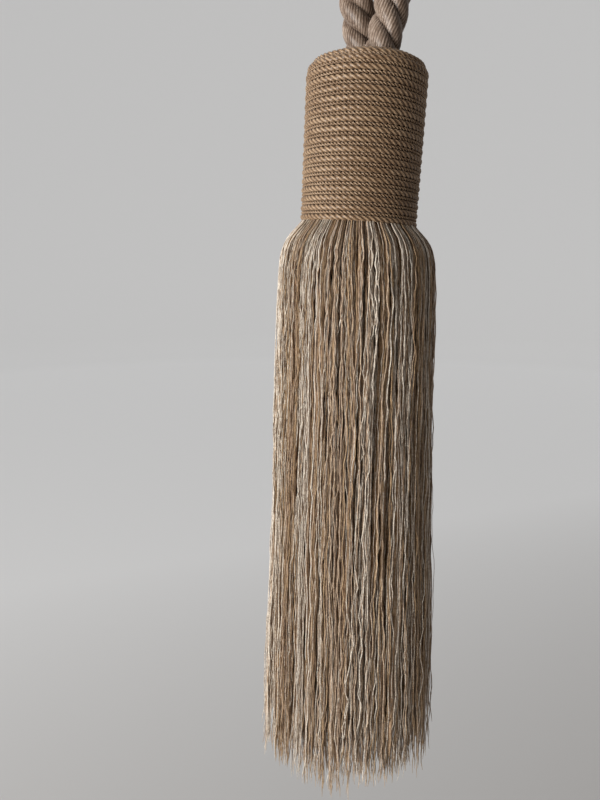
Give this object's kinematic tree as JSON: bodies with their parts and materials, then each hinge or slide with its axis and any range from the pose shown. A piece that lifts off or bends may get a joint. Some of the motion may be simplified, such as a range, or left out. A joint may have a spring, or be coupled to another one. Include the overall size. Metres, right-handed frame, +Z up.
{
  "type": "curtain tieback tassel",
  "caption": "Curtain tieback: a yarn tassel with a cord-wound cylindrical head, hung from a loop of thick twisted rope.",
  "frame": {"origin": "where the loop hangs: the top of the inside of the rope's bend", "axes": "+Z up, along the hanging tassel; +X to the right and +Y away, as in the front view"},
  "size_m": [0.0768, 0.0612, 0.5551],
  "materials": {
    "satin_rope": "satin three-ply twisted rope, greyish beige",
    "wound_cord": "satin twisted cords wound in rows, golden tan",
    "skirt_yarn": "mixed cream, beige and golden brown yarn, slightly fuzzy"
  },
  "bodies": {
    "root": {"rope_loop": "satin_rope", "head": "wound_cord", "skirt": "skirt_yarn"}
  },
  "joints": []
}
